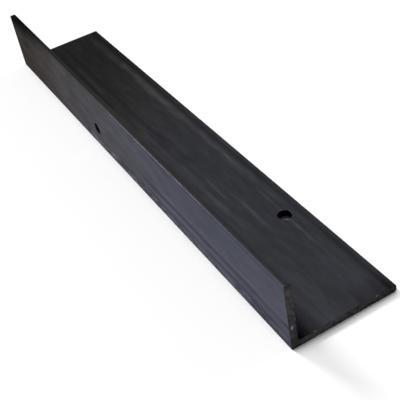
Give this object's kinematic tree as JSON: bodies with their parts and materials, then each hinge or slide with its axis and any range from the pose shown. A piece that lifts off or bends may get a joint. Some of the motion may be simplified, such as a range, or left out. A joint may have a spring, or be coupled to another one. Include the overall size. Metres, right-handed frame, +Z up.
{
  "type": "expansion angle profile",
  "caption": "Short length of unequal steel angle with a sharp heel, toes rounded on the inside and a plain fixing hole drilled through each leg.",
  "frame": {"origin": "middle of the underside of the wide leg, on the floor that the profile lies on", "axes": "+X along the length, towards the end that the hole places are measured from; +Y across the wide leg, from the heel to its toe; +Z up"},
  "size_m": [0.35, 0.06, 0.04],
  "materials": {
    "black_steel": "dark blue-grey mill scale, matt to satin, with soft streaks along the length"
  },
  "bodies": {
    "root": {"angle_profile": "black_steel"}
  },
  "joints": []
}
